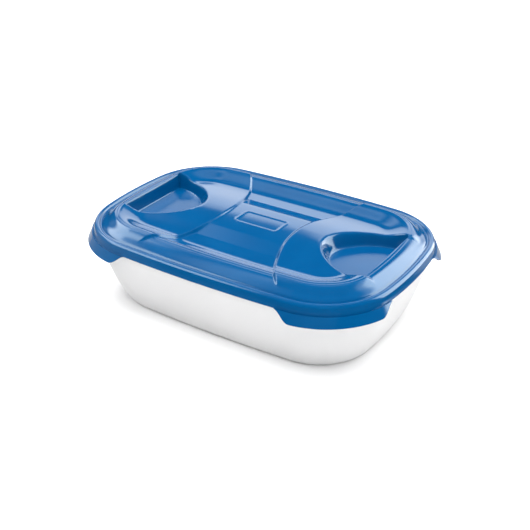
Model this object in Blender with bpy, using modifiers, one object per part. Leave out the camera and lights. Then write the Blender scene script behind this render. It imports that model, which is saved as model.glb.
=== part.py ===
"""Snap lid food container: a milky tub closed by a blue lid with four flexing corner tabs.

The tub stands on z = 0, centred on the origin. X runs along its length and -Y is its front.
The plan outline of tub and lid is an eight-arc rounded rectangle: slightly bowed long and
short sides joined by four corner arcs. The lid is one thin shell over that outline.
"""

import math

import bmesh
import bpy
from mathutils import Vector
from mathutils.geometry import delaunay_2d_cdt

MM = 0.001

# Plan outline at the lid's rim
RIM_HALF_LENGTH = 115.0 * MM
RIM_HALF_WIDTH = 77.4 * MM
LONG_SIDE_RADIUS = 1061.0 * MM
SHORT_SIDE_RADIUS = 273.0 * MM
CORNER_RADIUS = 50.3 * MM
SHORT_STEPS = 2
CORNER_STEPS = 12
LONG_STEPS = 4

# Heights: the rim plane passes through the outer shoulder of the lid's rolled rim
RIM_HEIGHT = 56.6 * MM
SHEET = 1.1 * MM
SEAM_GAP = 0.3 * MM

# Tub wall: how far it stands inside the rim outline at a depth below the rim plane
WALL_START_DEPTH = 7.6 * MM
WALL_OVERHANG = 1.93 * MM
WALL_DRAFT = 0.2441
FOOT_ROUND_INSET = 7.23 * MM
FOOT_ROUND_RISE_POWER = 2.304
FOOT_ROUND_SIDE_POWER = 2.236
CORNER_RADIUS_LOSS = 0.635
WALL_ROWS = 9
TUB_LIP = ((0.80, 1.2), (0.80, 2.8), (0.70, 4.5), (0.25, 6.0))

# Lid section outside the crest: (inset from the rim outline, height above the rim plane), mm
SKIRT_SECTION = ((-2.0, -6.1), (-1.4, -4.0), (-1.05, -2.2), (-0.72, -0.9))
RIM_SECTION = ((0.0, 0.0), (0.6, 0.45), (1.3, 0.60), (2.2, 0.50), (2.9, 0.10),
               (3.5, -0.60), (4.1, -0.90), (4.7, -0.55), (5.3, 0.10), (6.0, 0.60))
SHOULDER_INSET = 6.0 * MM
SHOULDER_START_HEIGHT = 0.6 * MM
CREST_INSET = 17.0 * MM
CREST_HEIGHT = 4.5 * MM
SHOULDER_CURVE = 1.6
SHOULDER_ROWS = 4

# Raised ends of the lid and the band between them
PAD_EDGE = 28.25 * MM
PAD_EDGE_RADIUS = 100.0 * MM
PAD_STEP_WIDTH = 1.7 * MM
PAD_EDGE_END_INSET = 10.4 * MM
PAD_EDGE_STEPS = 20
PAD_RISE = 1.8 * MM
PAD_CROWN_HEIGHT = 4.9 * MM
PAD_VALLEY_HEIGHT = 0.9 * MM
PAD_CROWN_HALF_WIDTH = 45.0 * MM
PAD_CROWN_POWER = 1.3
PAD_WALL_WIDTH = 17.0 * MM
TABLE_HEIGHT = 3.0 * MM
TABLE_CROWN = 0.8 * MM
TABLE_HALF_WIDTH = 19.4 * MM
TABLE_FOOT_HALF_WIDTH = 32.9 * MM
TABLE_FOOT_HEIGHT = -0.4 * MM
BAND_VALLEY_HEIGHT = -0.9 * MM
BAND_VALLEY_REACH = 11.0 * MM
BAND_WALL_WIDTH = 16.0 * MM
CREST_WALL_SKEW = 0.9
RISE_START_INSET = 8.0 * MM
RISE_END_INSET = 15.0 * MM
END_CREST_HALF_WIDTH = 33.0 * MM
END_CREST_DROP = 1.2 * MM
END_CREST_BLEND = 3.0 * MM
END_CREST_START = 74.8 * MM
END_CREST_RAMP = 9.35 * MM

# Finger pockets at the two ends
POCKET_CENTRE = 93.5 * MM
POCKET_LENGTH = 43.0 * MM
POCKET_HALF_WIDTH = 32.2 * MM
POCKET_END = 96.3 * MM
POCKET_FLOOR_LENGTH = 37.4 * MM
POCKET_FLOOR_HALF_WIDTH = 29.8 * MM
POCKET_FLOOR_END = 94.3 * MM
POCKET_FLOOR_HEIGHT = -5.3 * MM
POCKET_ROUNDNESS = 1.85
POCKET_STEPS = 22

# Corner tabs: places are lengths along the rim outline from the middle of a short side
TAB_START = 30.7 * MM
TAB_END = 109.0 * MM
TAB_SHOULDER = 12.0 * MM
TAB_DROP = 6.7 * MM
TAB_FLARE = 0.42
TAB_FLARE_CURVE = 8.6
TAB_COLUMNS = 20
TAB_ROWS = 3
TAB_END_CUT = 3.0 * MM

FILL_SPACING = 9.5 * MM
FILL_CLEARANCE = 3.0 * MM
MERGE_DISTANCE = 0.01 * MM
SHARP_ANGLE = math.radians(40)
INNER_RING_INSETS = (19.0, 22.0, 25.5, 29.5)

BLUE = (0.012, 0.118, 0.352, 1.0)
MILKY = (0.86, 0.87, 0.87, 1.0)


class Outline:
    """A rounded rectangle of eight tangent arcs, given by its first quadrant."""

    def __init__(self, inset, corner_radius):
        self.long_radius = LONG_SIDE_RADIUS - inset
        self.short_radius = SHORT_SIDE_RADIUS - inset
        self.corner_radius = corner_radius
        self.long_centre = Vector((0.0, RIM_HALF_WIDTH - LONG_SIDE_RADIUS))
        self.short_centre = Vector((RIM_HALF_LENGTH - SHORT_SIDE_RADIUS, 0.0))
        self.corner_centre = self.find_corner_centre()
        self.corner_start = angle_to(self.short_centre, self.corner_centre)
        self.corner_end = angle_to(self.long_centre, self.corner_centre)

    def find_corner_centre(self):
        """The centre whose arc touches both side arcs from inside."""
        from_long = self.long_radius - self.corner_radius
        from_short = self.short_radius - self.corner_radius
        span = self.short_centre - self.long_centre
        along = (from_long ** 2 - from_short ** 2 + span.length_squared) / (2 * span.length)
        across = math.sqrt(from_long ** 2 - along ** 2)
        direction = span.normalized()
        return self.long_centre + direction * along + Vector((direction.y, -direction.x)) * across

    def arcs(self):
        """Centre, radius, first angle and last angle of the quadrant's three arcs."""
        return (
            (self.short_centre, self.short_radius, 0.0, self.corner_start),
            (self.corner_centre, self.corner_radius, self.corner_start, self.corner_end),
            (self.long_centre, self.long_radius, self.corner_end, math.pi / 2),
        )

    def ring(self):
        """One closed ring of points, anticlockwise from the middle of the +X side."""
        quarter = []
        for arc, steps in zip(self.arcs(), (SHORT_STEPS, CORNER_STEPS, LONG_STEPS)):
            centre, radius, first, last = arc
            for step in range(steps):
                quarter.append(on_circle(centre, radius, first + (last - first) * step / steps))
        top = Vector((0.0, self.long_centre.y + self.long_radius))
        left = [Vector((-p.x, p.y)) for p in reversed(quarter)]
        upper = quarter + [top] + left
        lower = [Vector((p.x, -p.y)) for p in reversed(upper[1:-1])]
        return upper + lower

    def at_length(self, length, outward):
        """The point a length along the quadrant, moved outward from the outline."""
        for centre, radius, first, last in self.arcs():
            arc_length = radius * (last - first)
            if length <= arc_length or last >= math.pi / 2:
                return on_circle(centre, radius + outward, first + length / radius)
            length -= arc_length
        return None


def angle_to(start, end):
    """The direction from one point to another, as an angle from +X."""
    return math.atan2(end.y - start.y, end.x - start.x)


def on_circle(centre, radius, angle):
    """The point at an angle on a circle."""
    return centre + Vector((math.cos(angle), math.sin(angle))) * radius


def clamp01(value):
    """Keep a ratio between 0 and 1."""
    return min(max(value, 0.0), 1.0)


def smooth(value):
    """An S-shaped ramp from 0 to 1."""
    ratio = clamp01(value)
    return ratio * ratio * (3.0 - 2.0 * ratio)


RIM = Outline(0.0, CORNER_RADIUS)


def rim_offset(inset):
    """The outline parallel to the rim, a distance inside it."""
    return Outline(inset, CORNER_RADIUS - inset)


def inset_of(x, y):
    """How far a plan point lies inside the rim outline."""
    point = Vector((abs(x), abs(y)))
    from_corner = point - RIM.corner_centre
    angle = math.atan2(from_corner.y, from_corner.x)
    if RIM.corner_start <= angle <= RIM.corner_end:
        return RIM.corner_radius - from_corner.length
    from_long_side = RIM.long_radius - (point - RIM.long_centre).length
    from_short_side = RIM.short_radius - (point - RIM.short_centre).length
    return min(from_long_side, from_short_side)


def rim_section_height(inset):
    """Height of the rolled rim and the groove, between the section's points."""
    points = [(s * MM, z * MM) for s, z in RIM_SECTION]
    for (s0, z0), (s1, z1) in zip(points, points[1:]):
        if inset <= s1:
            return z0 + (z1 - z0) * clamp01((inset - s0) / (s1 - s0))
    return points[-1][1]


def pad_edge(y):
    """Distance from the middle of the lid to the arc that bounds a raised end."""
    return PAD_EDGE + PAD_EDGE_RADIUS - math.sqrt(PAD_EDGE_RADIUS ** 2 - y ** 2)


def pad_share(x, y):
    """0 on the middle band, 1 on the raised ends, with a narrow ramp between."""
    return clamp01((abs(x) - pad_edge(y)) / PAD_STEP_WIDTH + 0.5)


def end_crest_share(x, y):
    """1 along the straight crest of each short side, 0 at the corners."""
    beyond = smooth((abs(x) - END_CREST_START) / END_CREST_RAMP)
    return beyond * smooth((END_CREST_HALF_WIDTH - abs(y)) / END_CREST_BLEND)


def end_rise(x, y, inset):
    """How much the raised ends lift the shoulder and the crest."""
    rise = PAD_RISE * pad_share(x, y) - END_CREST_DROP * end_crest_share(x, y)
    return rise * smooth((inset - RISE_START_INSET) / (RISE_END_INSET - RISE_START_INSET))


def shoulder_height(x, y, inset):
    """Height of the convex shoulder between the groove and the crest."""
    ratio = clamp01((inset - SHOULDER_INSET) / (CREST_INSET - SHOULDER_INSET))
    rise = (CREST_HEIGHT - SHOULDER_START_HEIGHT) * (1.0 - (1.0 - ratio) ** SHOULDER_CURVE)
    return SHOULDER_START_HEIGHT + rise + end_rise(x, y, inset)


def crest_wall(inset, width):
    """Share of the crest's height left at a distance inside it."""
    ratio = clamp01((inset - CREST_INSET) / width)
    return 1.0 - smooth(ratio ** CREST_WALL_SKEW)


def band_height(x, y, inset):
    """Height of the middle band: a slightly arched table, two slopes and the valley to the crest."""
    slope = clamp01((TABLE_FOOT_HALF_WIDTH - abs(y)) / (TABLE_FOOT_HALF_WIDTH - TABLE_HALF_WIDTH))
    valley = clamp01((abs(y) - TABLE_FOOT_HALF_WIDTH) / BAND_VALLEY_REACH)
    foot = TABLE_FOOT_HEIGHT + (BAND_VALLEY_HEIGHT - TABLE_FOOT_HEIGHT) * valley
    crown = TABLE_CROWN * max(1.0 - (y / TABLE_HALF_WIDTH) ** 2, 0.0)
    floor = foot + (TABLE_HEIGHT - TABLE_FOOT_HEIGHT) * slope + crown
    crest = CREST_HEIGHT + end_rise(x, y, inset)
    return floor + (crest - floor) * crest_wall(inset, BAND_WALL_WIDTH)


def pad_height(x, y, inset):
    """Height of a raised end: a crown along the middle and a valley below the crest."""
    crown = 1.0 - smooth(clamp01(abs(y) / PAD_CROWN_HALF_WIDTH) ** PAD_CROWN_POWER)
    floor = PAD_VALLEY_HEIGHT + (PAD_CROWN_HEIGHT - PAD_VALLEY_HEIGHT) * crown
    crest = CREST_HEIGHT + end_rise(x, y, inset)
    return floor + (crest - floor) * crest_wall(inset, PAD_WALL_WIDTH)


def pocket_level(x, y, length, half_width):
    """1 on a pocket outline of the given size, less than 1 inside it."""
    inward = max(POCKET_CENTRE - abs(x), 0.0) / length
    across = abs(y) / half_width
    return (inward ** POCKET_ROUNDNESS + across ** POCKET_ROUNDNESS) ** (1.0 / POCKET_ROUNDNESS)


def pocket_share(x, y):
    """0 outside a finger pocket, 1 on its floor, with the pocket's walls between."""
    inside_mouth = 1.0 - pocket_level(x, y, POCKET_LENGTH, POCKET_HALF_WIDTH)
    outside_floor = pocket_level(x, y, POCKET_FLOOR_LENGTH, POCKET_FLOOR_HALF_WIDTH) - 1.0
    from_end = (POCKET_END - abs(x)) / (POCKET_END - POCKET_FLOOR_END)
    if inside_mouth <= 0.0 or from_end <= 0.0:
        return 0.0
    if outside_floor <= 0.0:
        return clamp01(from_end)
    return min(inside_mouth / (inside_mouth + outside_floor), clamp01(from_end))


def lid_height(x, y):
    """Height of the lid's outer face above the rim plane at a plan point."""
    inset = inset_of(x, y)
    if inset <= SHOULDER_INSET:
        return rim_section_height(inset)
    if inset <= CREST_INSET:
        return shoulder_height(x, y, inset)
    share = pad_share(x, y)
    surface = band_height(x, y, inset) * (1.0 - share) + pad_height(x, y, inset) * share
    sunk = pocket_share(x, y)
    return surface * (1.0 - sunk) + POCKET_FLOOR_HEIGHT * sunk


def pocket_outline(side, length, half_width, end):
    """Closed outline of a pocket at one height: half a superellipse and a straight end."""
    points = [Vector((side * end, -half_width))]
    for step in range(POCKET_STEPS + 1):
        angle = -math.pi / 2 + math.pi * step / POCKET_STEPS
        inward = abs(math.cos(angle)) ** (2.0 / POCKET_ROUNDNESS)
        across = math.copysign(abs(math.sin(angle)) ** (2.0 / POCKET_ROUNDNESS), angle)
        points.append(Vector((side * (POCKET_CENTRE - length * inward), half_width * across)))
    points.append(Vector((side * end, half_width)))
    return points


class Plan:
    """Points and fixed edges of the lid's top in plan, before it is triangulated."""

    def __init__(self):
        self.points = []
        self.edges = []

    def add_line(self, points, closed):
        """Add a chain of fixed edges."""
        first = len(self.points)
        self.points.extend(points)
        count = len(points)
        for step in range(count if closed else count - 1):
            self.edges.append((first + step, first + (step + 1) % count))

    def add_loose(self, points):
        """Add points that keep clear of those already there."""
        for point in points:
            if all((point - other).length > FILL_CLEARANCE for other in self.points):
                self.points.append(point)


def add_pad_edges(plan):
    """The head and the foot of the step around each raised end."""
    reach = RIM_HALF_WIDTH - PAD_EDGE_END_INSET
    for side in (-1, 1):
        for half_step in (-0.5, 0.5):
            line = []
            for step in range(PAD_EDGE_STEPS + 1):
                y = -reach + 2 * reach * step / PAD_EDGE_STEPS
                line.append(Vector((side * (pad_edge(y) + half_step * PAD_STEP_WIDTH), y)))
            plan.add_line(line, closed=False)


def add_table_edges(plan):
    """The creases at the head and the foot of the middle band's slopes."""
    for y in (TABLE_HALF_WIDTH, TABLE_FOOT_HALF_WIDTH):
        half_length = pad_edge(y) - 2 * PAD_STEP_WIDTH
        for side in (-1, 1):
            plan.add_line([Vector((-half_length, side * y)), Vector((half_length, side * y))], False)


def lid_plan():
    """Every point and crease of the lid's top."""
    plan = Plan()
    insets = [s * MM for s, _ in RIM_SECTION]
    for row in range(1, SHOULDER_ROWS + 1):
        insets.append(SHOULDER_INSET + (CREST_INSET - SHOULDER_INSET) * row / SHOULDER_ROWS)
    for inset in insets:
        plan.add_line(rim_offset(inset).ring(), closed=True)
    for side in (-1, 1):
        plan.add_line(pocket_outline(side, POCKET_LENGTH, POCKET_HALF_WIDTH, POCKET_END), True)
        plan.add_line(pocket_outline(side, POCKET_FLOOR_LENGTH, POCKET_FLOOR_HALF_WIDTH,
                                     POCKET_FLOOR_END), True)
    add_pad_edges(plan)
    add_table_edges(plan)
    for inset in INNER_RING_INSETS:
        clear_of = [p for p in rim_offset(inset * MM).ring() if pocket_share(p.x, p.y) == 0.0]
        add_ring_points(plan, clear_of)
    plan.add_loose(fill_points())
    return plan


def add_ring_points(plan, points):
    """Add ring points that stay off the pockets' and the steps' creases."""
    for point in points:
        if all((point - other).length > SHEET for other in plan.points):
            plan.points.append(point)


def fill_points():
    """An even grid over the inside of the lid."""
    columns = int(RIM_HALF_LENGTH / FILL_SPACING)
    rows = int(RIM_HALF_WIDTH / FILL_SPACING)
    points = []
    for column in range(-columns, columns + 1):
        for row in range(-rows, rows + 1):
            point = Vector((column * FILL_SPACING, row * FILL_SPACING))
            if inset_of(point.x, point.y) > CREST_INSET + FILL_CLEARANCE:
                points.append(point)
    return points


def mesh_object(name, build, material, collection):
    """A named object whose mesh a build function fills."""
    mesh = bpy.data.meshes.new(name)
    surface = bmesh.new()
    build(surface)
    bmesh.ops.remove_doubles(surface, verts=surface.verts, dist=MERGE_DISTANCE)
    surface.to_mesh(mesh)
    surface.free()
    mesh.materials.append(material)
    thing = bpy.data.objects.new(name, mesh)
    collection.objects.link(thing)
    return thing


def add_row(surface, ring, height):
    """A closed row of vertices at one height."""
    return [surface.verts.new((p.x, p.y, height)) for p in ring]


def bridge_rows(surface, lower, upper):
    """Quads between two closed rows, facing outward when both run anticlockwise."""
    count = len(lower)
    for step in range(count):
        after = (step + 1) % count
        surface.faces.new((lower[step], lower[after], upper[after], upper[step]))


def build_lid(surface):
    """The lid's outer face: a triangulated top and a lofted skirt below its edge."""
    plan = lid_plan()
    points, _, faces, *_ = delaunay_2d_cdt(plan.points, plan.edges, [], 0, MERGE_DISTANCE)
    top = [surface.verts.new((p.x, p.y, RIM_HEIGHT + lid_height(p.x, p.y))) for p in points]
    for face in faces:
        surface.faces.new([top[index] for index in face])
    rows = []
    for outward, height in SKIRT_SECTION + (RIM_SECTION[0],):
        ring = rim_offset(outward * MM).ring()
        rows.append(add_row(surface, ring, RIM_HEIGHT + height * MM))
    for lower, upper in zip(rows, rows[1:]):
        bridge_rows(surface, lower, upper)


def wall_inset(depth):
    """How far the tub's outer face stands inside the rim outline at a depth."""
    rounding = (1.0 - (depth / RIM_HEIGHT) ** FOOT_ROUND_RISE_POWER) ** (1 / FOOT_ROUND_SIDE_POWER)
    return FOOT_ROUND_INSET * (1.0 - rounding) + WALL_DRAFT * depth - WALL_OVERHANG


def tub_rows():
    """Inset and depth of the rows down the tub's outer face, closer together at the foot."""
    rows = [(inset * MM, depth * MM) for inset, depth in TUB_LIP]
    for row in range(WALL_ROWS + 1):
        share = math.sin(math.pi / 2 * row / WALL_ROWS)
        depth = WALL_START_DEPTH + (RIM_HEIGHT - WALL_START_DEPTH) * share
        rows.append((wall_inset(depth), depth))
    return rows


def build_tub(surface):
    """The tub's outer face, from its lip down to its flat base."""
    previous = None
    for inset, depth in tub_rows():
        ring = Outline(inset, CORNER_RADIUS - CORNER_RADIUS_LOSS * inset).ring()
        row = add_row(surface, ring, RIM_HEIGHT - depth)
        if previous:
            bridge_rows(surface, row, previous)
        previous = row
    surface.faces.new(list(reversed(previous)))


def tab_drop(length):
    """Height of a tab at a place along it, easing to its two ends."""
    start = smooth((length - TAB_START) / TAB_SHOULDER)
    end = smooth((TAB_END - length) / TAB_SHOULDER)
    return TAB_DROP * min(start, end)


def tab_flare(drop):
    """How far a tab's outer face stands outside the skirt's edge at a drop below it."""
    return TAB_FLARE * drop + TAB_FLARE_CURVE * drop ** 2


def tab_span():
    """Where the tab is first and last tall enough to be a solid."""
    return TAB_START + TAB_END_CUT, TAB_END - TAB_END_CUT


def build_tab(surface):
    """The front right tab's outer face, mirrored to the other corners later."""
    skirt_inset, skirt_height = SKIRT_SECTION[0]
    first, last = tab_span()
    grid = []
    for column in range(TAB_COLUMNS + 1):
        length = first + (last - first) * column / TAB_COLUMNS
        line = []
        for row in range(TAB_ROWS + 1):
            drop = SEAM_GAP + (tab_drop(length) - SEAM_GAP) * row / TAB_ROWS
            point = RIM.at_length(length, tab_flare(drop) - skirt_inset * MM)
            line.append(surface.verts.new((point.x, -point.y, RIM_HEIGHT + skirt_height * MM - drop)))
        grid.append(line)
    for left, right in zip(grid, grid[1:]):
        for row in range(TAB_ROWS):
            surface.faces.new((left[row], left[row + 1], right[row + 1], right[row]))


def tab_axis_point():
    """Middle of a tab's upper edge on its outer face, where its hinge axis passes."""
    skirt_inset, skirt_height = SKIRT_SECTION[0]
    middle = (TAB_START + TAB_END) / 2
    point = RIM.at_length(middle, -skirt_inset * MM)
    return Vector((point.x, -point.y, RIM_HEIGHT + skirt_height * MM - SEAM_GAP))


def make_sheet(thing):
    """Turn an outer face into a thin shell that lies inside it."""
    wall = thing.modifiers.new("sheet", "SOLIDIFY")
    wall.thickness = SHEET
    wall.offset = -1.0
    wall.use_even_offset = True
    wall.use_rim = True
    thing.data.shade_smooth()
    thing.data.set_sharp_from_angle(angle=SHARP_ANGLE)


def add_tabs(material, collection, lid):
    """Four tabs, each with its origin on its hinge axis and parented to the lid."""
    corners = {"tab_front_right": (1, 1), "tab_front_left": (-1, 1),
               "tab_back_right": (1, -1), "tab_back_left": (-1, -1)}
    axis_point = tab_axis_point()
    for name, (side, front) in corners.items():
        tab = mesh_object(name, build_tab, material, collection)
        origin = Vector((axis_point.x * side, axis_point.y * front, axis_point.z))
        for vertex in tab.data.vertices:
            place = Vector((vertex.co.x * side, vertex.co.y * front, vertex.co.z))
            vertex.co = place - origin
        if side * front < 0:
            tab.data.flip_normals()
        tab.location = origin
        tab.parent = lid
        make_sheet(tab)


def make_material(name, colour, roughness):
    """A plain plastic."""
    material = bpy.data.materials.new(name)
    material.use_nodes = True
    shader = material.node_tree.nodes["Principled BSDF"]
    shader.inputs["Base Color"].default_value = colour
    shader.inputs["Roughness"].default_value = roughness
    shader.inputs["Metallic"].default_value = 0.0
    return material


def clear_scene():
    """Start from an empty scene."""
    for thing in list(bpy.data.objects):
        bpy.data.objects.remove(thing, do_unlink=True)


def main():
    clear_scene()
    collection = bpy.data.collections.new("snap_lid_food_container")
    bpy.context.scene.collection.children.link(collection)
    blue = make_material("blue_polyethylene", BLUE, 0.18)
    milky = make_material("milky_polypropylene", MILKY, 0.3)
    tub = mesh_object("tub", build_tub, milky, collection)
    make_sheet(tub)
    lid = mesh_object("lid", build_lid, blue, collection)
    make_sheet(lid)
    add_tabs(blue, collection, lid)


main()
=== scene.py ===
"""Looks of the snap lid food container: a glossy blue lid with flexing corner tabs on a milky tub."""

import math

import bmesh
import bpy
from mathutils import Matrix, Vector
from mathutils.geometry import delaunay_2d_cdt


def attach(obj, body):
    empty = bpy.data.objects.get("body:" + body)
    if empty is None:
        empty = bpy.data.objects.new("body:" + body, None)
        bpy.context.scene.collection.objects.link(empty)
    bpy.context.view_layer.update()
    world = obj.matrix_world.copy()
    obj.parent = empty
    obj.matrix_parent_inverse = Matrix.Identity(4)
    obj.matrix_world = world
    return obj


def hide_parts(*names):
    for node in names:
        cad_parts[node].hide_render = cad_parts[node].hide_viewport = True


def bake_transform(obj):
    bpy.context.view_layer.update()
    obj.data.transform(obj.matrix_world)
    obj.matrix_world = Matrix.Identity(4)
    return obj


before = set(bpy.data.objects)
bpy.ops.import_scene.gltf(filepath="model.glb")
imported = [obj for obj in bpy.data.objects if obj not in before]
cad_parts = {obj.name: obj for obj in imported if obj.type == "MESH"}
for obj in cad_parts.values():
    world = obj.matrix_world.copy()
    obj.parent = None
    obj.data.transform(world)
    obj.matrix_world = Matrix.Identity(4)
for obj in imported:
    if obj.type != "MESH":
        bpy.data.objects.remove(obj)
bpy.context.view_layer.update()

MM = 0.001

# Plan outline at the lid's rim, as in the CAD
RIM_HALF_LENGTH = 115.0 * MM
RIM_HALF_WIDTH = 77.4 * MM
LONG_SIDE_RADIUS = 1061.0 * MM
SHORT_SIDE_RADIUS = 273.0 * MM
CORNER_RADIUS = 50.3 * MM
SHORT_STEPS = 12
CORNER_STEPS = 60
LONG_STEPS = 20

RIM_HEIGHT = 56.6 * MM
SHEET = 1.1 * MM
MERGE_DISTANCE = 0.005 * MM
TRIANGLE_TOLERANCE = 0.001 * MM
SHARP_ANGLE = math.radians(50)

# Tub section
WALL_START_DEPTH = 7.6 * MM
WALL_OVERHANG = 1.93 * MM
WALL_DRAFT = 0.2441
FOOT_ROUND_INSET = 7.23 * MM
FOOT_ROUND_RISE_POWER = 2.304
FOOT_ROUND_SIDE_POWER = 2.236
CORNER_RADIUS_LOSS = 0.635
WALL_ROWS = 44
BASE_RINGS = (0.99, 0.96, 0.9, 0.75, 0.5, 0.2)
TUB_LIP = ((0.80, 1.2), (0.80, 2.0), (0.80, 2.8), (0.76, 3.7), (0.70, 4.5), (0.52, 5.3), (0.25, 6.0),
           (0.05, 6.8))

# Lid section outside the crest: (inset from the rim outline, height above the rim plane), mm
SKIRT_SECTION = ((-2.0, -6.1), (-1.4, -4.0), (-1.05, -2.2), (-0.72, -0.9), (0.0, 0.0))
RIM_SECTION = ((0.0, 0.0), (0.5, 0.40), (1.3, 0.60), (2.2, 0.50), (2.9, 0.10),
               (3.5, -0.60), (4.1, -0.90), (4.7, -0.55), (5.3, 0.10), (6.0, 0.60))
SECTION_STEPS = 5
SHOULDER_INSET = 6.0 * MM
SHOULDER_START_HEIGHT = 0.6 * MM
CREST_INSET = 17.0 * MM
CREST_HEIGHT = 4.5 * MM
CREST_ROUND = 0.35 * MM
SHOULDER_CURVE = 1.6
CREST_GROOVE_INSET = 16.0 * MM
CREST_GROOVE_WIDTH = 0.6 * MM
CREST_GROOVE_DEPTH = 0.22 * MM
SHOULDER_ROWS = 12
SHOULDER_SPACING = 0.75 * MM
CREST_ROWS = (-2.0, -1.7, -1.45, -1.2, -1.0, -0.8, -0.55, -0.3, -0.1, 0.1, 0.3, 0.5, 0.75, 1.0)

# Raised ends of the lid and the band between them
PAD_EDGE = 28.25 * MM
PAD_EDGE_RADIUS = 100.0 * MM
PAD_STEP_WIDTH = 2.5 * MM
PAD_RISE = 1.8 * MM
PAD_CROWN_HEIGHT = 4.9 * MM
PAD_VALLEY_HEIGHT = 0.9 * MM
PAD_CROWN_HALF_WIDTH = 45.0 * MM
PAD_CROWN_POWER = 1.3
PAD_WALL_WIDTH = 17.0 * MM
TABLE_HEIGHT = 3.0 * MM
TABLE_CROWN = 0.8 * MM
TABLE_HALF_WIDTH = 19.4 * MM
TABLE_FOOT_HALF_WIDTH = 32.9 * MM
TABLE_FOOT_HEIGHT = -0.4 * MM
TABLE_ROUND = 0.06
BAND_VALLEY_HEIGHT = -0.9 * MM
BAND_VALLEY_REACH = 11.0 * MM
BAND_WALL_WIDTH = 16.0 * MM
CREST_WALL_SKEW = 0.9
RISE_START_INSET = 8.0 * MM
RISE_END_INSET = 15.0 * MM
PAD_LINE_SHARES = (-0.7, -0.5, -0.3, -0.1, 0.1, 0.3, 0.5, 0.7)
PAD_LINE_END_INSET = 1.3 * RISE_START_INSET
PAD_LINE_STEPS = 130
TABLE_LINE_STEPS = 40
END_CREST_HALF_WIDTH = 33.0 * MM
END_CREST_DROP = 1.2 * MM
END_CREST_BLEND = 3.0 * MM

# Finger pockets at the two ends: length inward of the centre, half width and outer end of an outline
POCKET_CENTRE = 93.5 * MM
POCKET_MOUTH = (42.6 * MM, 32.2 * MM, 96.3 * MM)
POCKET_FLOOR = (37.4 * MM, 29.6 * MM, 94.3 * MM)
POCKET_FLOOR_HEIGHT = -5.3 * MM
POCKET_ROUNDNESS = 1.85
POCKET_LIP_ROUND = 0.25
POCKET_FOOT_ROUND = 0.25
POCKET_STEPS = 110
POCKET_LOOPS = (-0.35, -0.12, 0.0, 0.12, 0.3, 0.5, 0.7, 0.85, 1.0, 1.15, 1.3, 1.6, 2.0)
END_CREST_START = 0.8 * POCKET_CENTRE
END_CREST_RUN = 0.1 * POCKET_CENTRE

# Plain label frame on the band's table
LABEL_HALF_LENGTH = 17.0 * MM
LABEL_HALF_WIDTH = 8.5 * MM
LABEL_CORNER = 3.0 * MM
LABEL_RIDGE = 0.9 * MM
LABEL_RISE = 0.3 * MM
LABEL_CORNER_STEPS = 8
LABEL_SPACING = 0.9 * MM

# Corner tabs: places are lengths along the rim outline from the middle of a short side
TAB_START = 30.7 * MM
TAB_END = 109.0 * MM
TAB_SHOULDER = 12.0 * MM
TAB_END_CUT = 0.06 * TAB_SHOULDER
TAB_DROP = 6.7 * MM
TAB_FLARE = 0.414
TAB_FLARE_CURVE = 8.6
TAB_COLUMNS = 120
TAB_ROWS = 16
TAB_CORNERS = {"tab_front_right": (1, -1), "tab_front_left": (-1, -1),
               "tab_back_right": (1, 1), "tab_back_left": (-1, 1)}

# Spacing of the lid's triangles; edge shares run from one side of a rounded edge to the other
EDGE_SHARES = (-1.0, -0.5, 0.0, 0.5, 1.0)
FILL_SPACING = 1.5 * MM
FILL_CLEARANCE = 0.9 * MM
WALL_RINGS = 8
WALL_RING_START = 1.5
WALL_RING_SPACING = 0.9
WALL_RING_CLEARANCE = FILL_CLEARANCE * 0.7

# Blue polyethylene: colours and roughness between the dull and the bright patches of a soft cloud
BLUE_TINTS = ((0.3, (0.0, 0.069, 0.209, 1.0)), (0.7, (0.0, 0.078, 0.229, 1.0)))
BLUE_ROUGHNESS = (0.07, 0.13)
BLUE_EDGE_WEAR = 0.08
BLUE_CLOUD_SCALE = 35.0
BLUE_PEEL_SCALE = 900.0
BLUE_PEEL_STRENGTH = 0.05
BLUE_IOR = 1.5
BLUE_SHEEN = (0.84, 1.0, 1.0, 1.0)
GRAIN_START_DEPTH = 3.0 * MM
GRAIN_END_DEPTH = 4.5 * MM
GRAIN_ROUGHNESS = 0.10

# Milky polypropylene
MILKY_TINTS = ((0.0, (0.82, 0.82, 0.825, 1.0)), (1.0, (0.87, 0.87, 0.875, 1.0)))
MILKY_ROUGHNESS = (0.30, 0.40)
MILKY_EDGE_WEAR = 0.2
MILKY_CLOUD_SCALE = 30.0
MILKY_PEEL_SCALE = 700.0
MILKY_PEEL_STRENGTH = 0.06
MILKY_IOR = 1.49
MILKY_TRANSMISSION = 0.22

CLOUD_DETAIL = 3.0
PEEL_DETAIL = 2.0
PEEL_DEPTH = 0.1 * MM
WORN_POINTINESS = (0.52, 0.60)

# Studio: a pale floor, a pale backdrop and soft lights (name, place, size, power)
FLOOR_SIZE = 12.0
FLOOR_GAP = 0.3 * MM
FLOOR_TINTS = ((0.0, (0.93, 0.93, 0.93, 1.0)), (1.0, (0.95, 0.95, 0.95, 1.0)))
FLOOR_GRAIN_SCALE = 60.0
FLOOR_ROUGHNESS = 0.9
BACKDROP_RADIUS = 2.6
LIGHT_TARGET = (0.0, 0.0, 0.03)
LIGHTS = (
    ("overhead_fill", (0.0, 0.0, 2.5), (4.0, 4.0), 195.0),
    ("front_fill", (0.9, -2.2, 0.9), (2.4, 1.5), 13.0),
    ("back_fill", (-0.9, 2.2, 0.9), (2.4, 1.5), 16.0),
    ("left_fill", (-2.4, -0.9, 0.9), (2.4, 1.5), 16.0),
    ("right_fill", (2.4, 0.9, 0.9), (2.4, 1.5), 23.0),
)

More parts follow.
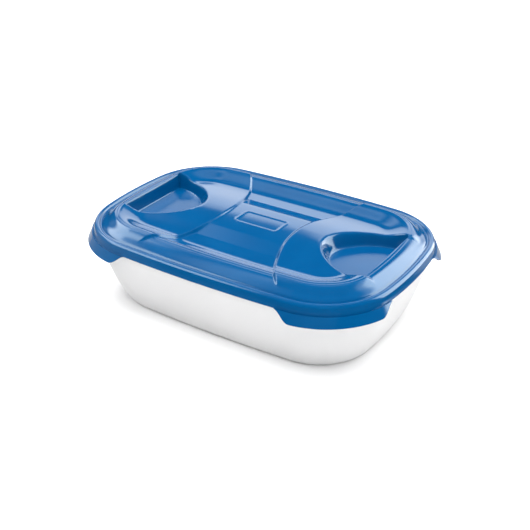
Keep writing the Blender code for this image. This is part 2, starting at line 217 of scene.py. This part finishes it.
# What glossy faces mirror: azimuth limits from +Y toward -X, elevation limits, brightness and blur, degrees
SOFTBOXES = (
    (-64.0, -8.0, -10.0, 48.0, 7.5, 4.0),
    (-64.0, -15.0, 48.0, 56.0, 2.0, 4.0),
    (64.0, 142.0, 27.0, 49.0, 6.5, 4.0),
    (75.0, 140.0, -25.0, 25.0, 0.45, 4.0),
    (52.0, 115.0, 56.0, 64.0, 1.2, 4.0),
    (50.0, 62.0, 36.0, 48.0, 1.8, 5.0),
    (-8.0, 29.0, 8.5, 31.0, 2.3, 1.5),
    (29.0, 60.0, 8.5, 26.3, 2.3, 1.5),
    (-20.0, 60.0, 60.0, 80.0, 0.8, 6.0),
    (-30.0, 75.0, -70.0, -4.0, 0.8, 4.0),
)
ROOM_BRIGHTNESS = 0.03

# Camera: it looks at a point a little below the lid's middle
VIEW_AZIMUTH = math.radians(32.68)
VIEW_ELEVATION = math.radians(29.38)
VIEW_DISTANCE = 627.7 * MM
VIEW_LENS = 61.27
SENSOR_WIDTH = 36.0
AIM_RIGHT = 2.44 * MM
AIM_UP = -26.99 * MM


class Outline:
    """A rounded rectangle of eight tangent arcs, given by its first quadrant."""

    def __init__(self, inset, corner_radius):
        self.long_radius = LONG_SIDE_RADIUS - inset
        self.short_radius = SHORT_SIDE_RADIUS - inset
        self.corner_radius = corner_radius
        self.long_centre = Vector((0.0, RIM_HALF_WIDTH - LONG_SIDE_RADIUS))
        self.short_centre = Vector((RIM_HALF_LENGTH - SHORT_SIDE_RADIUS, 0.0))
        self.corner_centre = self.find_corner_centre()
        self.corner_start = angle_to(self.short_centre, self.corner_centre)
        self.corner_end = angle_to(self.long_centre, self.corner_centre)

    def find_corner_centre(self):
        """The centre whose arc touches both side arcs from inside."""
        from_long = self.long_radius - self.corner_radius
        from_short = self.short_radius - self.corner_radius
        span = self.short_centre - self.long_centre
        along = (from_long ** 2 - from_short ** 2 + span.length_squared) / (2 * span.length)
        across = math.sqrt(from_long ** 2 - along ** 2)
        direction = span.normalized()
        return self.long_centre + direction * along + Vector((direction.y, -direction.x)) * across

    def arcs(self):
        """Centre, radius, first angle and last angle of the quadrant's three arcs."""
        return (
            (self.short_centre, self.short_radius, 0.0, self.corner_start),
            (self.corner_centre, self.corner_radius, self.corner_start, self.corner_end),
            (self.long_centre, self.long_radius, self.corner_end, math.pi / 2),
        )

    def ring(self):
        """One closed ring of points, anticlockwise from the middle of the +X side."""
        quarter = []
        for arc, steps in zip(self.arcs(), (SHORT_STEPS, CORNER_STEPS, LONG_STEPS)):
            centre, radius, first, last = arc
            for step in range(steps):
                quarter.append(on_circle(centre, radius, first + (last - first) * step / steps))
        top = Vector((0.0, self.long_centre.y + self.long_radius))
        left = [Vector((-p.x, p.y)) for p in reversed(quarter)]
        upper = quarter + [top] + left
        lower = [Vector((p.x, -p.y)) for p in reversed(upper[1:-1])]
        return upper + lower

    def at_length(self, length, outward):
        """The point a length along the quadrant, moved outward from the outline."""
        for centre, radius, first, last in self.arcs():
            arc_length = radius * (last - first)
            if length <= arc_length or last >= math.pi / 2:
                return on_circle(centre, radius + outward, first + length / radius)
            length -= arc_length
        return None


def angle_to(start, end):
    """The direction from one point to another, as an angle from +X."""
    return math.atan2(end.y - start.y, end.x - start.x)


def on_circle(centre, radius, angle):
    """The point at an angle on a circle."""
    return centre + Vector((math.cos(angle), math.sin(angle))) * radius


def clamp01(value):
    """Keep a ratio between 0 and 1."""
    return min(max(value, 0.0), 1.0)


def smooth(value):
    """An S-shaped ramp from 0 to 1."""
    ratio = clamp01(value)
    return ratio * ratio * (3.0 - 2.0 * ratio)


def rounded_start(value, reach):
    """0 below zero and the value above it, with the corner rounded over a reach."""
    if value <= -reach:
        return 0.0
    if value >= reach:
        return value
    return (value + reach) ** 2 / (4.0 * reach)


def rounded_ramp(value, start_round, end_round):
    """A straight ramp from 0 to 1 with its two corners rounded."""
    if value < 0.5:
        return rounded_start(value, start_round)
    return 1.0 - rounded_start(1.0 - value, end_round)


RIM = Outline(0.0, CORNER_RADIUS)


def rim_offset(inset):
    """The outline parallel to the rim, a distance inside it."""
    return Outline(inset, CORNER_RADIUS - inset)


def inset_of(x, y):
    """How far a plan point lies inside the rim outline."""
    point = Vector((abs(x), abs(y)))
    from_corner = point - RIM.corner_centre
    angle = math.atan2(from_corner.y, from_corner.x)
    if RIM.corner_start <= angle <= RIM.corner_end:
        return RIM.corner_radius - from_corner.length
    from_long_side = RIM.long_radius - (point - RIM.long_centre).length
    from_short_side = RIM.short_radius - (point - RIM.short_centre).length
    return min(from_long_side, from_short_side)


def smooth_section(points, steps):
    """A section's points in metres, with a rounded curve through them."""
    knots = [Vector((s * MM, z * MM)) for s, z in points]
    padded = [knots[0] * 2 - knots[1]] + knots + [knots[-1] * 2 - knots[-2]]
    curve = []
    for a, b, c, d in zip(padded, padded[1:], padded[2:], padded[3:]):
        for step in range(steps):
            t = step / steps
            curve.append(0.5 * (2 * b + (c - a) * t + (2 * a - 5 * b + 4 * c - d) * t ** 2
                                + (3 * b - a - 3 * c + d) * t ** 3))
    return curve + [knots[-1]]


def pad_edge(y):
    """Distance from the middle of the lid to the arc that bounds a raised end."""
    return PAD_EDGE + PAD_EDGE_RADIUS - math.sqrt(PAD_EDGE_RADIUS ** 2 - y ** 2)


def pad_share(x, y):
    """0 on the middle band, 1 on the raised ends, with a narrow rounded step between."""
    return smooth((abs(x) - pad_edge(y)) / PAD_STEP_WIDTH + 0.5)


def end_crest_share(x, y):
    """1 along the straight crest of each short side, 0 at the corners."""
    beyond = smooth((abs(x) - END_CREST_START) / END_CREST_RUN)
    return beyond * smooth((END_CREST_HALF_WIDTH - abs(y)) / END_CREST_BLEND)


def crest_height(x, y, inset):
    """How much the raised ends lift the shoulder and the crest."""
    rise = PAD_RISE * pad_share(x, y) - END_CREST_DROP * end_crest_share(x, y)
    return rise * smooth((inset - RISE_START_INSET) / (RISE_END_INSET - RISE_START_INSET))


def shoulder_height(x, y, inset):
    """Height of the convex shoulder up to the crest, with a fine groove near its top."""
    ratio = clamp01((inset - SHOULDER_INSET) / (CREST_INSET - SHOULDER_INSET))
    rise = (CREST_HEIGHT - SHOULDER_START_HEIGHT) * (1.0 - (1.0 - ratio) ** SHOULDER_CURVE)
    groove = CREST_GROOVE_DEPTH * math.exp(-((inset - CREST_GROOVE_INSET) / CREST_GROOVE_WIDTH) ** 2)
    return SHOULDER_START_HEIGHT + rise - groove + crest_height(x, y, inset)


def crest_wall(inset, width):
    """Share of the crest's height left at a distance inside it."""
    ratio = clamp01((inset - CREST_INSET) / width)
    return 1.0 - smooth(ratio ** CREST_WALL_SKEW)


def band_height(x, y, inset):
    """Height of the middle band: a slightly arched table, two slopes and the valleys to the crest."""
    slope_width = TABLE_FOOT_HALF_WIDTH - TABLE_HALF_WIDTH
    slope = rounded_ramp((TABLE_FOOT_HALF_WIDTH - abs(y)) / slope_width, TABLE_ROUND, TABLE_ROUND)
    valley = clamp01((abs(y) - TABLE_FOOT_HALF_WIDTH) / BAND_VALLEY_REACH)
    foot = TABLE_FOOT_HEIGHT + (BAND_VALLEY_HEIGHT - TABLE_FOOT_HEIGHT) * valley
    crown = TABLE_CROWN * max(1.0 - (y / TABLE_HALF_WIDTH) ** 2, 0.0)
    floor = foot + (TABLE_HEIGHT - TABLE_FOOT_HEIGHT) * slope + crown
    crest = CREST_HEIGHT + crest_height(x, y, inset)
    return floor + (crest - floor) * crest_wall(inset, BAND_WALL_WIDTH)


def pad_height(x, y, inset):
    """Height of a raised end: a crown along the middle and a valley below the crest."""
    crown = 1.0 - smooth(clamp01(abs(y) / PAD_CROWN_HALF_WIDTH) ** PAD_CROWN_POWER)
    floor = PAD_VALLEY_HEIGHT + (PAD_CROWN_HEIGHT - PAD_VALLEY_HEIGHT) * crown
    crest = CREST_HEIGHT + crest_height(x, y, inset)
    return floor + (crest - floor) * crest_wall(inset, PAD_WALL_WIDTH)


def pocket_level(x, y, size):
    """1 on a pocket outline of the given size, less than 1 inside it."""
    length, half_width, _ = size
    inward = max(POCKET_CENTRE - abs(x), 0.0) / length
    across = abs(y) / half_width
    return (inward ** POCKET_ROUNDNESS + across ** POCKET_ROUNDNESS) ** (1.0 / POCKET_ROUNDNESS)


def pocket_share(x, y):
    """0 outside a finger pocket, 1 on its floor, with rounded edges between."""
    mouth = pocket_level(x, y, POCKET_MOUTH)
    floor = pocket_level(x, y, POCKET_FLOOR)
    across_side = (1.0 - mouth) / max(floor - mouth, 0.0001)
    across_end = (POCKET_MOUTH[2] - abs(x)) / (POCKET_MOUTH[2] - POCKET_FLOOR[2])
    return clamp01(rounded_ramp(min(across_side, across_end), POCKET_LIP_ROUND, POCKET_FOOT_ROUND))


def frame_distance(x, y):
    """Distance of a plan point from the middle line of the label frame."""
    across = abs(x) - LABEL_HALF_LENGTH + LABEL_CORNER
    along = abs(y) - LABEL_HALF_WIDTH + LABEL_CORNER
    outside = math.hypot(max(across, 0.0), max(along, 0.0)) + min(max(across, along), 0.0)
    return abs(outside - LABEL_CORNER)


def label_rise(x, y):
    """Height of the plain label frame above the band's table."""
    return LABEL_RISE * (1.0 - smooth(frame_distance(x, y) / LABEL_RIDGE))


def label_outline(offset):
    """A rounded rectangle parallel to the label frame."""
    points = []
    corner = LABEL_CORNER + offset
    length = LABEL_HALF_LENGTH - LABEL_CORNER
    width = LABEL_HALF_WIDTH - LABEL_CORNER
    for quarter, (side, front) in enumerate(((1, 1), (-1, 1), (-1, -1), (1, -1))):
        centre = Vector((side * length, front * width))
        for step in range(LABEL_CORNER_STEPS + 1):
            turn = math.pi / 2 * (quarter + step / LABEL_CORNER_STEPS)
            points.append(on_circle(centre, corner, turn))
    return subdivided(points, LABEL_SPACING)


def subdivided(points, spacing):
    """A closed chain of points with its long sides divided."""
    chain = []
    for here, after in zip(points, points[1:] + points[:1]):
        steps = max(int((after - here).length / spacing), 1)
        chain += [here.lerp(after, step / steps) for step in range(steps)]
    return chain


def lid_height(x, y):
    """Height above the rim plane of the lid's outer face, inside the groove."""
    inset = inset_of(x, y)
    shoulder = shoulder_height(x, y, inset)
    if inset <= CREST_INSET - CREST_ROUND:
        return shoulder
    share = pad_share(x, y)
    surface = band_height(x, y, inset) * (1.0 - share) + pad_height(x, y, inset) * share
    surface += label_rise(x, y)
    sunk = pocket_share(x, y)
    return min(surface, shoulder) * (1.0 - sunk) + POCKET_FLOOR_HEIGHT * sunk


def pocket_outline(side, share):
    """Closed outline of a pocket, a share of the way from its mouth to its floor."""
    length, half_width, end = [a + (b - a) * share for a, b in zip(POCKET_MOUTH, POCKET_FLOOR)]
    points = [Vector((side * end, -half_width))]
    for step in range(POCKET_STEPS + 1):
        angle = -math.pi / 2 + math.pi * step / POCKET_STEPS
        inward = abs(math.cos(angle)) ** (2.0 / POCKET_ROUNDNESS)
        across = math.copysign(abs(math.sin(angle)) ** (2.0 / POCKET_ROUNDNESS), angle)
        points.append(Vector((side * (POCKET_CENTRE - length * inward), half_width * across)))
    points.append(Vector((side * end, half_width)))
    end_steps = POCKET_STEPS // 2
    for step in range(1, end_steps):
        points.append(Vector((side * end, half_width * (1 - 2 * step / end_steps))))
    return points


class Plan:
    """Points and fixed edges of the lid's top in plan, before it is triangulated."""

    def __init__(self):
        self.points = []
        self.edges = []
        self.cells = {}

    def cell(self, point):
        """The square of a coarse grid that holds a point."""
        return int(point.x // FILL_CLEARANCE), int(point.y // FILL_CLEARANCE)

    def add_point(self, point):
        """Add one point."""
        self.points.append(point)
        self.cells.setdefault(self.cell(point), []).append(point)

    def add_line(self, points, closed):
        """Add a chain of fixed edges."""
        first = len(self.points)
        for point in points:
            self.add_point(point)
        count = len(points)
        for step in range(count if closed else count - 1):
            self.edges.append((first + step, first + (step + 1) % count))

    def is_clear(self, point, clearance):
        """True where no point stands within the clearance."""
        column, row = self.cell(point)
        for near_column in (column - 1, column, column + 1):
            for near_row in (row - 1, row, row + 1):
                for other in self.cells.get((near_column, near_row), ()):
                    if (point - other).length < clearance:
                        return False
        return True

    def add_loose(self, points, clearance):
        """Add points that keep clear of those already there."""
        for point in points:
            if self.is_clear(point, clearance):
                self.add_point(point)


def add_pad_edges(plan):
    """Lines along the step around each raised end."""
    reach = RIM_HALF_WIDTH - PAD_LINE_END_INSET
    for side in (-1, 1):
        for share in PAD_LINE_SHARES:
            line = []
            for step in range(PAD_LINE_STEPS + 1):
                y = -reach + 2 * reach * step / PAD_LINE_STEPS
                line.append(Vector((side * (pad_edge(y) + share * PAD_STEP_WIDTH), y)))
            plan.add_line(line, closed=False)


def add_table_edges(plan):
    """Lines along the head and the foot of the middle band's slopes."""
    slope = TABLE_FOOT_HALF_WIDTH - TABLE_HALF_WIDTH
    ratios = [2 * step / TABLE_LINE_STEPS - 1 for step in range(TABLE_LINE_STEPS + 1)]
    for middle in (TABLE_HALF_WIDTH, TABLE_FOOT_HALF_WIDTH):
        for share in EDGE_SHARES:
            y = middle + share * TABLE_ROUND * slope
            half_length = pad_edge(y) - PAD_STEP_WIDTH
            for side in (-1, 1):
                plan.add_line([Vector((half_length * ratio, side * y)) for ratio in ratios], closed=False)


def crest_insets():
    """Insets of the rings across the shoulder and close around the crest."""
    insets = [SHOULDER_INSET + SHOULDER_SPACING * row for row in range(SHOULDER_ROWS)]
    return insets + [CREST_INSET + offset * MM for offset in CREST_ROWS]


def lid_plan():
    """Every point and line of the lid's top inside the groove."""
    plan = Plan()
    for inset in crest_insets():
        plan.add_line(rim_offset(inset).ring(), closed=True)
    for side in (-1, 1):
        for share in POCKET_LOOPS:
            plan.add_line(pocket_outline(side, share), closed=True)
    add_pad_edges(plan)
    add_table_edges(plan)
    for share in EDGE_SHARES:
        plan.add_line(label_outline(share * LABEL_RIDGE), closed=True)
    for row in range(WALL_RINGS):
        inset = CREST_INSET + (WALL_RING_START + WALL_RING_SPACING * row) * MM
        plan.add_loose(rim_offset(inset).ring(), WALL_RING_CLEARANCE)
    plan.add_loose(fill_points(), FILL_CLEARANCE)
    return plan


def fill_points():
    """An even triangular grid over the inside of the lid."""
    row_height = FILL_SPACING * math.sqrt(3) / 2
    columns = int(RIM_HALF_LENGTH / FILL_SPACING)
    rows = int(RIM_HALF_WIDTH / row_height)
    points = []
    for row in range(-rows, rows + 1):
        shift = 0.5 * (row % 2)
        for column in range(-columns, columns + 1):
            point = Vector(((column + shift) * FILL_SPACING, row * row_height))
            if inset_of(point.x, point.y) > CREST_INSET + FILL_CLEARANCE:
                points.append(point)
    return points


def mesh_piece(name, build, material):
    """A named object whose mesh a build function fills."""
    mesh = bpy.data.meshes.new(name)
    surface = bmesh.new()
    build(surface)
    bmesh.ops.remove_doubles(surface, verts=surface.verts, dist=MERGE_DISTANCE)
    surface.to_mesh(mesh)
    surface.free()
    mesh.materials.append(material)
    piece = bpy.data.objects.new(name, mesh)
    bpy.context.scene.collection.objects.link(piece)
    return piece


def add_row(surface, ring, height):
    """A closed row of vertices at one height."""
    return [surface.verts.new((p.x, p.y, height)) for p in ring]


def bridge_rows(surface, lower, upper):
    """Quads between two closed rows, facing outward when both run anticlockwise."""
    count = len(lower)
    for step in range(count):
        after = (step + 1) % count
        surface.faces.new((lower[step], lower[after], upper[after], upper[step]))


def build_lid(surface):
    """The lid's outer face: skirt, rolled rim and groove lofted, and a triangulated top inside them."""
    section = smooth_section(SKIRT_SECTION[:-1] + RIM_SECTION, SECTION_STEPS)
    rows = [add_row(surface, rim_offset(point.x).ring(), RIM_HEIGHT + point.y) for point in section]
    for lower, upper in zip(rows, rows[1:]):
        bridge_rows(surface, lower, upper)
    plan = lid_plan()
    points, _, faces, *_ = delaunay_2d_cdt(plan.points, plan.edges, [], 0, TRIANGLE_TOLERANCE)
    top = [surface.verts.new((p.x, p.y, RIM_HEIGHT + lid_height(p.x, p.y))) for p in points]
    for face in faces:
        surface.faces.new([top[index] for index in face])


def wall_inset(depth):
    """How far the tub's outer face stands inside the rim outline at a depth."""
    rounding = (1.0 - (depth / RIM_HEIGHT) ** FOOT_ROUND_RISE_POWER) ** (1 / FOOT_ROUND_SIDE_POWER)
    return FOOT_ROUND_INSET * (1.0 - rounding) + WALL_DRAFT * depth - WALL_OVERHANG


def tub_rows():
    """Inset and depth of the rows down the tub's outer face, closer together at the foot."""
    rows = [(inset * MM, depth * MM) for inset, depth in TUB_LIP]
    for row in range(WALL_ROWS + 1):
        share = math.sin(math.pi / 2 * row / WALL_ROWS)
        depth = WALL_START_DEPTH + (RIM_HEIGHT - WALL_START_DEPTH) * share
        rows.append((wall_inset(depth), depth))
    return rows


def build_tub(surface):
    """The tub's outer face, from its lip down to its flat base."""
    previous = None
    for inset, depth in tub_rows():
        ring = Outline(inset, CORNER_RADIUS - CORNER_RADIUS_LOSS * inset).ring()
        row = add_row(surface, ring, RIM_HEIGHT - depth)
        if previous:
            bridge_rows(surface, row, previous)
        previous = row
    for share in BASE_RINGS:
        row = add_row(surface, [point * share for point in ring], 0.0)
        bridge_rows(surface, row, previous)
        previous = row
    surface.faces.new(list(reversed(previous)))


def tab_drop(length):
    """Height of a tab at a place along it, easing to its two ends."""
    start = smooth((length - TAB_START) / TAB_SHOULDER)
    end = smooth((TAB_END - length) / TAB_SHOULDER)
    return TAB_DROP * min(start, end)


def tab_flare(drop):
    """How far a tab's outer face stands outside the skirt's edge at a drop below it."""
    return TAB_FLARE * drop + TAB_FLARE_CURVE * drop ** 2


def build_tab(side, front):
    """A function that fills a mesh with the outer face of one corner's tab."""

    def fill(surface):
        skirt_inset, skirt_height = SKIRT_SECTION[0]
        top = RIM_HEIGHT + skirt_height * MM
        first = TAB_START + TAB_END_CUT
        span = TAB_END - TAB_START - 2 * TAB_END_CUT
        grid = []
        for column in range(TAB_COLUMNS + 1):
            length = first + span * column / TAB_COLUMNS
            line = []
            for row in range(TAB_ROWS + 1):
                drop = tab_drop(length) * row / TAB_ROWS
                point = RIM.at_length(length, tab_flare(drop) - skirt_inset * MM)
                line.append(surface.verts.new((point.x * side, point.y * front, top - drop)))
            grid.append(line)
        for left, right in zip(grid, grid[1:]):
            for row in range(TAB_ROWS):
                corners = (left[row], left[row + 1], right[row + 1], right[row])
                surface.faces.new(corners if side * front < 0 else tuple(reversed(corners)))

    return fill


def make_sheet(piece):
    """Turn an outer face into a thin shell that lies inside it."""
    wall = piece.modifiers.new("sheet", "SOLIDIFY")
    wall.thickness = SHEET
    wall.offset = -1.0
    wall.use_rim = True
    apply_modifiers(piece)
    piece.data.shade_smooth()
    piece.data.set_sharp_from_angle(angle=SHARP_ANGLE)


def apply_modifiers(piece):
    """Replace a piece's mesh by its evaluated one."""
    depsgraph = bpy.context.evaluated_depsgraph_get()
    mesh = bpy.data.meshes.new_from_object(piece.evaluated_get(depsgraph))
    piece.modifiers.clear()
    piece.data = mesh


def new_material(name):
    """A node material with its Principled shader."""
    material = bpy.data.materials.new(name)
    material.use_nodes = True
    return material, material.node_tree, material.node_tree.nodes["Principled BSDF"]


def add_node(tree, kind, **settings):
    """A node with its settings and input values; inputs are given by name after in_."""
    node = tree.nodes.new(kind)
    for key, value in settings.items():
        if key.startswith("in_"):
            node.inputs[key[3:].replace("_", " ")].default_value = value
        else:
            setattr(node, key, value)
    return node


def math_node(tree, operation, first, second=None):
    """A math node fed by sockets or plain numbers; returns its output."""
    node = tree.nodes.new("ShaderNodeMath")
    node.operation = operation
    for socket, value in zip(node.inputs, (first, second)):
        if value is None:
            continue
        if isinstance(value, (int, float)):
            socket.default_value = value
        else:
            tree.links.new(value, socket)
    return node.outputs[0]


def colour_ramp(tree, value, tints):
    """Blend two colours by a value; returns the colour socket."""
    ramp = add_node(tree, "ShaderNodeValToRGB")
    for element, (position, colour) in zip(ramp.color_ramp.elements, tints):
        element.position = position
        element.color = colour
    tree.links.new(value, ramp.inputs["Fac"])
    return ramp.outputs["Color"]


def edge_wear(tree, cloud):
    """0 on smooth faces, up to 1 in patches along the rubbed outer edges."""
    shape = add_node(tree, "ShaderNodeNewGeometry")
    edge = add_node(tree, "ShaderNodeMapRange", interpolation_type="SMOOTHSTEP")
    edge.inputs["From Min"].default_value = WORN_POINTINESS[0]
    edge.inputs["From Max"].default_value = WORN_POINTINESS[1]
    tree.links.new(shape.outputs["Pointiness"], edge.inputs["Value"])
    return math_node(tree, "MULTIPLY", edge.outputs["Result"], cloud)


def pocket_grain(tree, place):
    """1 on the floors of the finger pockets, which have a fine matt grain, and 0 elsewhere."""
    split = add_node(tree, "ShaderNodeSeparateXYZ")
    tree.links.new(place, split.inputs["Vector"])
    depth = add_node(tree, "ShaderNodeMapRange", interpolation_type="SMOOTHSTEP")
    depth.inputs["From Min"].default_value = RIM_HEIGHT - GRAIN_START_DEPTH
    depth.inputs["From Max"].default_value = RIM_HEIGHT - GRAIN_END_DEPTH
    tree.links.new(split.outputs["Z"], depth.inputs["Value"])
    along = math_node(tree, "ABSOLUTE", split.outputs["X"])
    inside = math_node(tree, "LESS_THAN", along, POCKET_MOUTH[2] + MM)
    return math_node(tree, "MULTIPLY", depth.outputs["Result"], inside)


def worn_roughness(tree, cloud, limits, wear):
    """Roughness that drifts between two limits with the cloud and rises along worn edges."""
    gloss = add_node(tree, "ShaderNodeMapRange")
    gloss.inputs["To Min"].default_value = limits[0]
    gloss.inputs["To Max"].default_value = limits[1]
    tree.links.new(cloud, gloss.inputs["Value"])
    worn = math_node(tree, "MULTIPLY", edge_wear(tree, cloud), wear)
    return math_node(tree, "ADD", gloss.outputs["Result"], worn)


def object_noise(tree, place, scale, detail):
    """A noise texture fixed to the object; returns its value socket."""
    noise = add_node(tree, "ShaderNodeTexNoise", in_Scale=scale, in_Detail=detail)
    tree.links.new(place, noise.inputs["Vector"])
    return noise.outputs["Fac"]


def add_orange_peel(tree, shader, place, scale, strength):
    """The faint waviness of a moulded face."""
    bump = add_node(tree, "ShaderNodeBump", in_Strength=strength, in_Distance=PEEL_DEPTH)
    tree.links.new(object_noise(tree, place, scale, PEEL_DETAIL), bump.inputs["Height"])
    tree.links.new(bump.outputs["Normal"], shader.inputs["Normal"])


def blue_plastic():
    """Glossy blue polyethylene with a faint orange peel, handling marks and matt pocket floors."""
    material, tree, shader = new_material("blue_polyethylene")
    place = add_node(tree, "ShaderNodeTexCoord").outputs["Object"]
    cloud = object_noise(tree, place, BLUE_CLOUD_SCALE, CLOUD_DETAIL)
    tree.links.new(colour_ramp(tree, cloud, BLUE_TINTS), shader.inputs["Base Color"])
    worn = worn_roughness(tree, cloud, BLUE_ROUGHNESS, BLUE_EDGE_WEAR)
    grained = math_node(tree, "MULTIPLY", pocket_grain(tree, place), GRAIN_ROUGHNESS)
    tree.links.new(math_node(tree, "ADD", worn, grained), shader.inputs["Roughness"])
    add_orange_peel(tree, shader, place, BLUE_PEEL_SCALE, BLUE_PEEL_STRENGTH)
    shader.inputs["IOR"].default_value = BLUE_IOR
    shader.inputs["Specular Tint"].default_value = BLUE_SHEEN
    return material


def milky_plastic():
    """Translucent polypropylene: it lets soft light through and blurs what is behind it."""
    material, tree, shader = new_material("milky_polypropylene")
    place = add_node(tree, "ShaderNodeTexCoord").outputs["Object"]
    cloud = object_noise(tree, place, MILKY_CLOUD_SCALE, CLOUD_DETAIL)
    tree.links.new(colour_ramp(tree, cloud, MILKY_TINTS), shader.inputs["Base Color"])
    rough = worn_roughness(tree, cloud, MILKY_ROUGHNESS, MILKY_EDGE_WEAR)
    tree.links.new(rough, shader.inputs["Roughness"])
    add_orange_peel(tree, shader, place, MILKY_PEEL_SCALE, MILKY_PEEL_STRENGTH)
    shader.inputs["IOR"].default_value = MILKY_IOR
    shader.inputs["Transmission Weight"].default_value = MILKY_TRANSMISSION
    return material


def pale_floor():
    """A plain pale studio floor."""
    material, tree, shader = new_material("pale_floor")
    grain = add_node(tree, "ShaderNodeTexNoise", in_Scale=FLOOR_GRAIN_SCALE)
    tree.links.new(colour_ramp(tree, grain.outputs["Fac"], FLOOR_TINTS), shader.inputs["Base Color"])
    shader.inputs["Roughness"].default_value = FLOOR_ROUGHNESS
    bpy.ops.mesh.primitive_plane_add(size=FLOOR_SIZE)
    floor = bpy.context.object
    floor.location.z = -FLOOR_GAP
    floor.name = "studio_floor"
    floor.data.materials.append(material)
    floor.visible_glossy = False


def pale_backdrop():
    """A plain pale studio backdrop all round, seen only directly."""
    material = bpy.data.materials.new("pale_backdrop")
    material.use_nodes = True
    tree = material.node_tree
    glow = add_node(tree, "ShaderNodeEmission", in_Strength=1.0)
    glow.inputs["Color"].default_value = (1.0, 1.0, 1.0, 1.0)
    tree.links.new(glow.outputs["Emission"], tree.nodes["Material Output"].inputs["Surface"])
    bpy.ops.mesh.primitive_uv_sphere_add(radius=BACKDROP_RADIUS)
    backdrop = bpy.context.object
    backdrop.name = "studio_backdrop"
    backdrop.data.materials.append(material)
    backdrop.visible_diffuse = False
    backdrop.visible_glossy = False
    backdrop.visible_transmission = False
    backdrop.visible_shadow = False


def add_lid(material):
    """The lid's shell on the lid's body."""
    lid = mesh_piece("lid_shell", build_lid, material)
    make_sheet(lid)
    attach(lid, "lid")
    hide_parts("lid")


def add_tub(material):
    """The tub's shell on the tub's body."""
    tub = mesh_piece("tub_shell", build_tub, material)
    make_sheet(tub)
    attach(tub, "tub")
    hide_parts("tub")


def add_tabs(material):
    """The four corner tabs, which drop below the skirt's edge."""
    for node, (side, front) in TAB_CORNERS.items():
        tab = mesh_piece(node + "_shell", build_tab(side, front), material)
        make_sheet(tab)
        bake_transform(tab)
        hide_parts(node)


def aim(thing, target):
    """Point an object's -Z axis at a place."""
    thing.rotation_euler = (Vector(target) - thing.location).to_track_quat("-Z", "Y").to_euler()


def add_light(name, place, size, power):
    """A soft rectangular studio light."""
    light = bpy.data.lights.new(name, "AREA")
    light.shape = "RECTANGLE"
    light.size, light.size_y = size
    light.energy = power
    lamp = bpy.data.objects.new(name, light)
    bpy.context.scene.collection.objects.link(lamp)
    lamp.location = place
    lamp.visible_glossy = False
    aim(lamp, LIGHT_TARGET)


def soft_range(tree, value, low, high, blur):
    """1 where a value lies between two limits, fading to 0 over the blur outside them."""
    rise = add_node(tree, "ShaderNodeMapRange", interpolation_type="SMOOTHSTEP")
    rise.inputs["From Min"].default_value = low - blur
    rise.inputs["From Max"].default_value = low + blur
    fall = add_node(tree, "ShaderNodeMapRange", interpolation_type="SMOOTHSTEP")
    fall.inputs["From Min"].default_value = high + blur
    fall.inputs["From Max"].default_value = high - blur
    tree.links.new(value, rise.inputs["Value"])
    tree.links.new(value, fall.inputs["Value"])
    return math_node(tree, "MULTIPLY", rise.outputs["Result"], fall.outputs["Result"])


def add_world():
    """A dim studio room with large softboxes, which only glossy faces see."""
    world = bpy.data.worlds.new("studio")
    bpy.context.scene.world = world
    world.cycles_visibility.diffuse = False
    world.use_nodes = True
    tree = world.node_tree
    background = tree.nodes["Background"]
    background.inputs["Color"].default_value = (1.0, 1.0, 1.0, 1.0)
    place = add_node(tree, "ShaderNodeTexCoord")
    split = add_node(tree, "ShaderNodeSeparateXYZ")
    tree.links.new(place.outputs["Generated"], split.inputs["Vector"])
    leftward = math_node(tree, "MULTIPLY", split.outputs["X"], -1.0)
    azimuth = math_node(tree, "ARCTAN2", leftward, split.outputs["Y"])
    elevation = math_node(tree, "ARCSINE", split.outputs["Z"])
    azimuth = math_node(tree, "MULTIPLY", azimuth, 180.0 / math.pi)
    elevation = math_node(tree, "MULTIPLY", elevation, 180.0 / math.pi)
    total = ROOM_BRIGHTNESS
    for first, last, low, high, brightness, blur in SOFTBOXES:
        across = soft_range(tree, azimuth, first, last, blur)
        upright = soft_range(tree, elevation, low, high, blur)
        share = math_node(tree, "MULTIPLY", across, upright)
        lit = math_node(tree, "MULTIPLY", share, brightness)
        total = math_node(tree, "ADD", lit, total)
    tree.links.new(total, background.inputs["Strength"])


def add_camera():
    """The camera at the product view's angle."""
    azimuth, elevation = VIEW_AZIMUTH, VIEW_ELEVATION
    back = Vector((math.sin(azimuth) * math.cos(elevation), -math.cos(azimuth) * math.cos(elevation),
                   math.sin(elevation)))
    right = Vector((math.cos(azimuth), math.sin(azimuth), 0.0))
    up = back.cross(right)
    target = Vector((0.0, 0.0, RIM_HEIGHT)) + right * AIM_RIGHT + up * AIM_UP
    data = bpy.data.cameras.new("camera")
    data.lens = VIEW_LENS
    data.sensor_width = SENSOR_WIDTH
    camera = bpy.data.objects.new("camera", data)
    bpy.context.scene.collection.objects.link(camera)
    camera.location = target + back * VIEW_DISTANCE
    camera.rotation_euler = (-back).to_track_quat("-Z", "Y").to_euler()
    bpy.context.scene.camera = camera


def main():
    blue = blue_plastic()
    add_lid(blue)
    add_tabs(blue)
    add_tub(milky_plastic())
    pale_floor()
    pale_backdrop()
    add_world()
    for name, place, size, power in LIGHTS:
        add_light(name, place, size, power)
    add_camera()
    bpy.context.scene.view_settings.view_transform = "Standard"


main()
